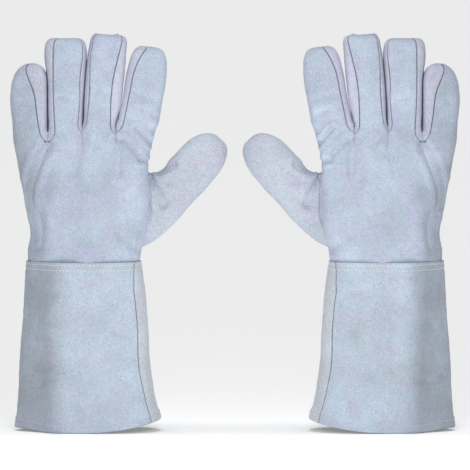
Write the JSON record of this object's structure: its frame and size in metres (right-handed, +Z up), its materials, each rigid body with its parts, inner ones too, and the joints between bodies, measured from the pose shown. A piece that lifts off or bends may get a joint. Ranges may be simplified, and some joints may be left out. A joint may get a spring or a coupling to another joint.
{
  "type": "welding gloves",
  "caption": "Pair of grey-blue split-leather welding gauntlets with cotton lining, standing on their cuffs with the backs forward; wrist, fingers and thumbs bend.",
  "frame": {"origin": "on the floor, midway between the two gloves", "axes": "+Z up towards the fingertips, -Y out of the backs of the hands, +X from the left-hand glove to the right-hand one"},
  "size_m": [0.398, 0.0639, 0.3563],
  "materials": {
    "split_leather": "matt suede, grey-blue",
    "fourchette_leather": "matt suede, slightly lilac",
    "cotton_lining": "brushed cotton, off-white"
  },
  "bodies": {
    "left_cuff": {"left_cuff_back": "split_leather", "left_cuff_lining": "cotton_lining", "left_cuff_palm": "split_leather"},
    "left_hand": {"left_fork_index_middle": "fourchette_leather", "left_fork_middle_ring": "fourchette_leather", "left_fork_ring_little": "fourchette_leather", "left_hand_back": "split_leather", "left_hand_lining": "cotton_lining", "left_hand_palm": "split_leather"},
    "left_index": {"left_index_back": "split_leather", "left_index_fourchette_little_side": "fourchette_leather", "left_index_palm": "split_leather"},
    "left_index_tip": {"left_index_tip": "split_leather"},
    "left_little": {"left_little_back": "split_leather", "left_little_fourchette_thumb_side": "fourchette_leather", "left_little_palm": "split_leather"},
    "left_little_tip": {"left_little_tip": "split_leather"},
    "left_middle": {"left_middle_back": "split_leather", "left_middle_fourchette_little_side": "fourchette_leather", "left_middle_fourchette_thumb_side": "fourchette_leather", "left_middle_palm": "split_leather"},
    "left_middle_tip": {"left_middle_tip": "split_leather"},
    "left_ring": {"left_ring_back": "split_leather", "left_ring_fourchette_little_side": "fourchette_leather", "left_ring_fourchette_thumb_side": "fourchette_leather", "left_ring_palm": "split_leather"},
    "left_ring_tip": {"left_ring_tip": "split_leather"},
    "left_thumb": {"left_thumb_back": "split_leather", "left_thumb_palm": "split_leather"},
    "left_thumb_tip": {"left_thumb_tip": "split_leather"},
    "right_cuff": {"right_cuff_back": "split_leather", "right_cuff_lining": "cotton_lining", "right_cuff_palm": "split_leather"},
    "right_hand": {"right_fork_index_middle": "fourchette_leather", "right_fork_middle_ring": "fourchette_leather", "right_fork_ring_little": "fourchette_leather", "right_hand_back": "split_leather", "right_hand_lining": "cotton_lining", "right_hand_palm": "split_leather"},
    "right_index": {"right_index_back": "split_leather", "right_index_fourchette_little_side": "fourchette_leather", "right_index_palm": "split_leather"},
    "right_index_tip": {"right_index_tip": "split_leather"},
    "right_little": {"right_little_back": "split_leather", "right_little_fourchette_thumb_side": "fourchette_leather", "right_little_palm": "split_leather"},
    "right_little_tip": {"right_little_tip": "split_leather"},
    "right_middle": {"right_middle_back": "split_leather", "right_middle_fourchette_little_side": "fourchette_leather", "right_middle_fourchette_thumb_side": "fourchette_leather", "right_middle_palm": "split_leather"},
    "right_middle_tip": {"right_middle_tip": "split_leather"},
    "right_ring": {"right_ring_back": "split_leather", "right_ring_fourchette_little_side": "fourchette_leather", "right_ring_fourchette_thumb_side": "fourchette_leather", "right_ring_palm": "split_leather"},
    "right_ring_tip": {"right_ring_tip": "split_leather"},
    "right_thumb": {"right_thumb_back": "split_leather", "right_thumb_palm": "split_leather"},
    "right_thumb_tip": {"right_thumb_tip": "split_leather"}
  },
  "joints": [
    {"name": "pair_apart", "type": "slide", "parent": "left_cuff", "child": "right_cuff", "axis": [1, 0, 0], "range_m": [-0.008, 0.15]},
    {"name": "left_wrist", "type": "hinge", "parent": "left_cuff", "child": "left_hand", "pos_m": [-0.132, 0, 0.16], "axis": [-1, 0, 0], "range_deg": [-20, 20], "stiffness_Nm_per_rad": 0.8},
    {"name": "left_thumb_base", "type": "hinge", "parent": "left_hand", "child": "left_thumb", "pos_m": [-0.082, 0.012, 0.1965], "axis": [0, 0, 1], "range_deg": [-10, 35], "stiffness_Nm_per_rad": 0.15},
    {"name": "left_thumb_tip", "type": "hinge", "parent": "left_thumb", "child": "left_thumb_tip", "pos_m": [-0.04027, 0.012, 0.23247], "axis": [-0.7193, 0, 0.6947], "range_deg": [0, 45], "stiffness_Nm_per_rad": 0.08},
    {"name": "left_index_base", "type": "hinge", "parent": "left_hand", "child": "left_index", "pos_m": [-0.0874, 0.007, 0.268], "axis": [-1, 0, 0], "range_deg": [0, 70], "stiffness_Nm_per_rad": 0.08},
    {"name": "left_index_tip", "type": "hinge", "parent": "left_index", "child": "left_index_tip", "pos_m": [-0.08114, 0.007, 0.30751], "axis": [-1, 0, 0], "range_deg": [0, 65], "stiffness_Nm_per_rad": 0.05},
    {"name": "left_middle_base", "type": "hinge", "parent": "left_hand", "child": "left_middle", "pos_m": [-0.12, 0.007, 0.27], "axis": [-1, 0, 0], "range_deg": [0, 70], "stiffness_Nm_per_rad": 0.08},
    {"name": "left_middle_tip", "type": "hinge", "parent": "left_middle", "child": "left_middle_tip", "pos_m": [-0.11594, 0.007, 0.31381], "axis": [-1, 0, 0], "range_deg": [0, 65], "stiffness_Nm_per_rad": 0.05},
    {"name": "left_ring_base", "type": "hinge", "parent": "left_hand", "child": "left_ring", "pos_m": [-0.1506, 0.007, 0.269], "axis": [-1, 0, 0], "range_deg": [0, 70], "stiffness_Nm_per_rad": 0.08},
    {"name": "left_ring_tip", "type": "hinge", "parent": "left_ring", "child": "left_ring_tip", "pos_m": [-0.1506, 0.007, 0.312], "axis": [-1, 0, 0], "range_deg": [0, 65], "stiffness_Nm_per_rad": 0.05},
    {"name": "left_little_base", "type": "hinge", "parent": "left_hand", "child": "left_little", "pos_m": [-0.1826, 0.007, 0.262], "axis": [-1, 0, 0], "range_deg": [0, 70], "stiffness_Nm_per_rad": 0.08},
    {"name": "left_little_tip", "type": "hinge", "parent": "left_little", "child": "left_little_tip", "pos_m": [-0.18303, 0.007, 0.297], "axis": [-1, 0, 0], "range_deg": [0, 65], "stiffness_Nm_per_rad": 0.05},
    {"name": "right_wrist", "type": "hinge", "parent": "right_cuff", "child": "right_hand", "pos_m": [0.132, 0, 0.16], "axis": [-1, 0, 0], "range_deg": [-20, 20], "stiffness_Nm_per_rad": 0.8},
    {"name": "right_thumb_base", "type": "hinge", "parent": "right_hand", "child": "right_thumb", "pos_m": [0.082, 0.012, 0.1965], "axis": [0, 0, -1], "range_deg": [-10, 35], "stiffness_Nm_per_rad": 0.15},
    {"name": "right_thumb_tip", "type": "hinge", "parent": "right_thumb", "child": "right_thumb_tip", "pos_m": [0.04027, 0.012, 0.23247], "axis": [-0.7193, 0, -0.6947], "range_deg": [0, 45], "stiffness_Nm_per_rad": 0.08},
    {"name": "right_index_base", "type": "hinge", "parent": "right_hand", "child": "right_index", "pos_m": [0.0874, 0.007, 0.268], "axis": [-1, 0, 0], "range_deg": [0, 70], "stiffness_Nm_per_rad": 0.08},
    {"name": "right_index_tip", "type": "hinge", "parent": "right_index", "child": "right_index_tip", "pos_m": [0.08114, 0.007, 0.30751], "axis": [-1, 0, 0], "range_deg": [0, 65], "stiffness_Nm_per_rad": 0.05},
    {"name": "right_middle_base", "type": "hinge", "parent": "right_hand", "child": "right_middle", "pos_m": [0.12, 0.007, 0.27], "axis": [-1, 0, 0], "range_deg": [0, 70], "stiffness_Nm_per_rad": 0.08},
    {"name": "right_middle_tip", "type": "hinge", "parent": "right_middle", "child": "right_middle_tip", "pos_m": [0.11594, 0.007, 0.31381], "axis": [-1, 0, 0], "range_deg": [0, 65], "stiffness_Nm_per_rad": 0.05},
    {"name": "right_ring_base", "type": "hinge", "parent": "right_hand", "child": "right_ring", "pos_m": [0.1506, 0.007, 0.269], "axis": [-1, 0, 0], "range_deg": [0, 70], "stiffness_Nm_per_rad": 0.08},
    {"name": "right_ring_tip", "type": "hinge", "parent": "right_ring", "child": "right_ring_tip", "pos_m": [0.1506, 0.007, 0.312], "axis": [-1, 0, 0], "range_deg": [0, 65], "stiffness_Nm_per_rad": 0.05},
    {"name": "right_little_base", "type": "hinge", "parent": "right_hand", "child": "right_little", "pos_m": [0.1826, 0.007, 0.262], "axis": [-1, 0, 0], "range_deg": [0, 70], "stiffness_Nm_per_rad": 0.08},
    {"name": "right_little_tip", "type": "hinge", "parent": "right_little", "child": "right_little_tip", "pos_m": [0.18303, 0.007, 0.297], "axis": [-1, 0, 0], "range_deg": [0, 65], "stiffness_Nm_per_rad": 0.05}
  ]
}
